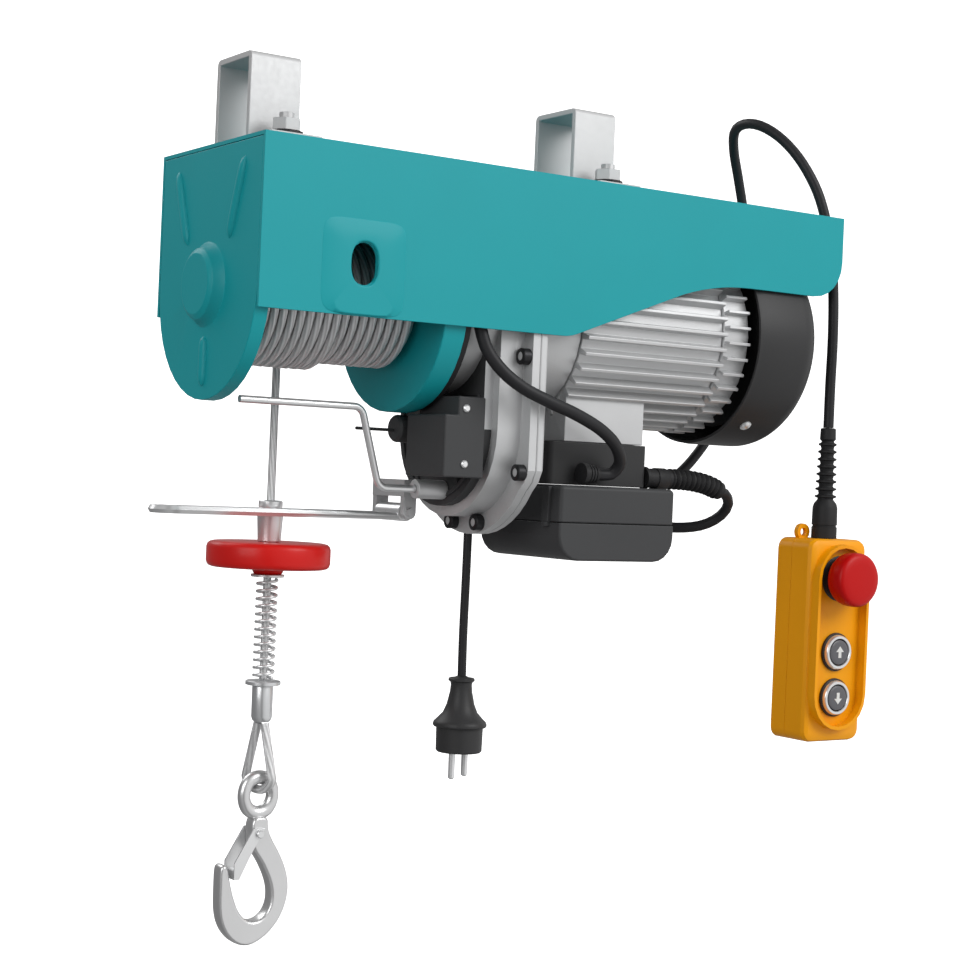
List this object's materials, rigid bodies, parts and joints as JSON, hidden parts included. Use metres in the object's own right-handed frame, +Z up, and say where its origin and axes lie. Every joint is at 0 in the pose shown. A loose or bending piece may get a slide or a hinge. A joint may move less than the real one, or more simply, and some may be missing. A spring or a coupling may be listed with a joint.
{
  "type": "electric wire rope hoist",
  "caption": "Beam-mounted electric hoist: rope drum in a sheet steel frame, gearbox, finned motor, limit gear, load hook and pendant control.",
  "frame": {"origin": "middle of the drum-side bracket's saddle, where it sits on the beam's top face", "axes": "+X along the drum's axis towards the motor, +Z up, -Y the front with the pendant's buttons"},
  "size_m": [0.5295, 0.1932, 0.6099],
  "materials": {
    "teal_paint": "satin teal paint on sheet steel",
    "cast_alloy": "cast, matt",
    "zinc_steel": "bright zinc plate",
    "machined_steel": "machined",
    "dark_plastic": "matt moulded",
    "black_rubber": "matt",
    "black_steel": "black oxide",
    "copper_winding": "enamelled copper wire",
    "yellow_plastic": "glossy moulded",
    "red_plastic": "glossy moulded",
    "red_paint": "gloss red paint"
  },
  "bodies": {
    "housing": {"arm_bracket": "cast_alloy", "bracket_bolt_1": "zinc_steel", "bracket_bolt_2": "zinc_steel", "bracket_bolt_3": "zinc_steel", "bracket_bolt_4": "zinc_steel", "brake_coil": "black_steel", "capacitor": "cast_alloy", "capacitor_housing_lower": "dark_plastic", "capacitor_housing_upper": "dark_plastic", "contact_block": "dark_plastic", "drum_end_bearing": "machined_steel", "drum_end_cheek": "teal_paint", "drum_gearbox_bearing": "machined_steel", "drum_sensor": "dark_plastic", "drum_side_bracket": "zinc_steel", "fan_cowl": "black_rubber", "frame_channel": "teal_paint", "gasket_ring": "black_rubber", "gearbox_cover": "cast_alloy", "gearbox_housing": "cast_alloy", "inner_cheek": "teal_paint", "limit_switch_box": "dark_plastic", "loom_cable": "black_rubber", "loom_gland": "black_rubber", "mains_plug": "dark_plastic", "motor_housing": "cast_alloy", "motor_side_bracket": "zinc_steel", "pendant_back": "yellow_plastic", "pendant_boot": "black_rubber", "pendant_cord": "black_rubber", "pendant_front": "yellow_plastic", "pendant_gland": "black_rubber", "power_cord": "black_rubber", "power_cord_gland": "black_rubber", "rear_shield": "cast_alloy", "rod_bearing": "cast_alloy", "stator_core": "machined_steel", "stator_windings": "copper_winding", "terminal_box": "dark_plastic"},
    "drum": {"rope_drum": "machined_steel", "rope_winding": "zinc_steel", "drum_shaft": "machined_steel"},
    "counter": {"counter_shaft": "machined_steel"},
    "rotor": {"motor_rotor": "machined_steel", "brake_disc": "machined_steel", "fan": "dark_plastic"},
    "lower_rod": {"lower_limit_rod": "zinc_steel"},
    "upper_arm": {"upper_limit_arm": "zinc_steel"},
    "rope_end": {"rope_ferrule": "cast_alloy", "hanging_rope": "zinc_steel", "thimble_loop": "zinc_steel", "buffer_spring": "zinc_steel"},
    "limit_weight": {"disc_sleeve": "zinc_steel", "stop_disc": "red_paint"},
    "hook": {"load_hook": "zinc_steel"},
    "latch": {"safety_latch": "zinc_steel"},
    "up_key": {"up_button": "zinc_steel"},
    "down_key": {"down_button": "zinc_steel"},
    "stop_plunger": {"stop_stem": "dark_plastic"},
    "stop_mushroom": {"stop_head": "red_plastic"}
  },
  "joints": [
    {"name": "hook_lift", "type": "slide", "parent": "housing", "child": "rope_end", "axis": [0, 0, 1], "range_m": [-0.6, 0.015], "deforming": ["hanging_rope"]},
    {"name": "drum_spin", "type": "hinge", "parent": "housing", "child": "drum", "pos_m": [0, 0, -0.145], "axis": [1, 0, 0], "range_deg": [-724, 20]},
    {"name": "counter_spin", "type": "hinge", "parent": "housing", "child": "counter", "pos_m": [0.17, 0, -0.204], "axis": [1, 0, 0], "range_deg": [-65, 2557]},
    {"name": "rotor_spin", "type": "hinge", "parent": "housing", "child": "rotor", "pos_m": [0.285, 0, -0.15], "axis": [1, 0, 0], "range_deg": [-12779, 321]},
    {"name": "weight_slide", "type": "slide", "parent": "rope_end", "child": "limit_weight", "axis": [0, 0, -1], "range_m": [0, 0.025], "stiffness_N_per_m": 3000, "springref_m": -0.006, "deforming": ["buffer_spring"]},
    {"name": "hook_swing", "type": "hinge", "parent": "rope_end", "child": "hook", "pos_m": [0.047, 0.0476, -0.4795], "axis": [0.3827, -0.9239, 0], "range_deg": [-25, 25]},
    {"name": "latch_swing", "type": "hinge", "parent": "hook", "child": "latch", "pos_m": [0.0455, 0.0476, -0.5085], "axis": [0, -1, 0], "range_deg": [0, 30], "stiffness_Nm_per_rad": 0.05, "springref_deg": -17.19},
    {"name": "upper_arm_lift", "type": "hinge", "parent": "housing", "child": "upper_arm", "pos_m": [0.1455, 0.0476, -0.287], "axis": [0, 1, 0], "range_deg": [0, 8]},
    {"name": "lower_rod_tilt", "type": "hinge", "parent": "housing", "child": "lower_rod", "pos_m": [0.12, -0.008, -0.27], "axis": [1, 0, 0], "range_deg": [-12, 12], "stiffness_Nm_per_rad": 0.4},
    {"name": "up_press", "type": "slide", "parent": "housing", "child": "up_key", "axis": [0, 1, 0], "range_m": [0, 0.003], "stiffness_N_per_m": 400, "springref_m": -0.002},
    {"name": "down_press", "type": "slide", "parent": "housing", "child": "down_key", "axis": [0, 1, 0], "range_m": [0, 0.003], "stiffness_N_per_m": 400, "springref_m": -0.002},
    {"name": "stop_press", "type": "slide", "parent": "housing", "child": "stop_plunger", "axis": [0, 1, 0], "range_m": [0, 0.004]},
    {"name": "stop_twist", "type": "hinge", "parent": "stop_plunger", "child": "stop_mushroom", "pos_m": [0.459, -0.0795, -0.324], "axis": [0, -1, 0], "range_deg": [0, 45], "stiffness_Nm_per_rad": 0.03, "springref_deg": -5.73}
  ],
  "couplings": [
    {"joint": "drum_spin", "follows": "hook_lift", "rad_per_m": 21.008},
    {"joint": "counter_spin", "follows": "hook_lift", "rad_per_m": -74.337},
    {"joint": "rotor_spin", "follows": "hook_lift", "rad_per_m": 371.69}
  ]
}
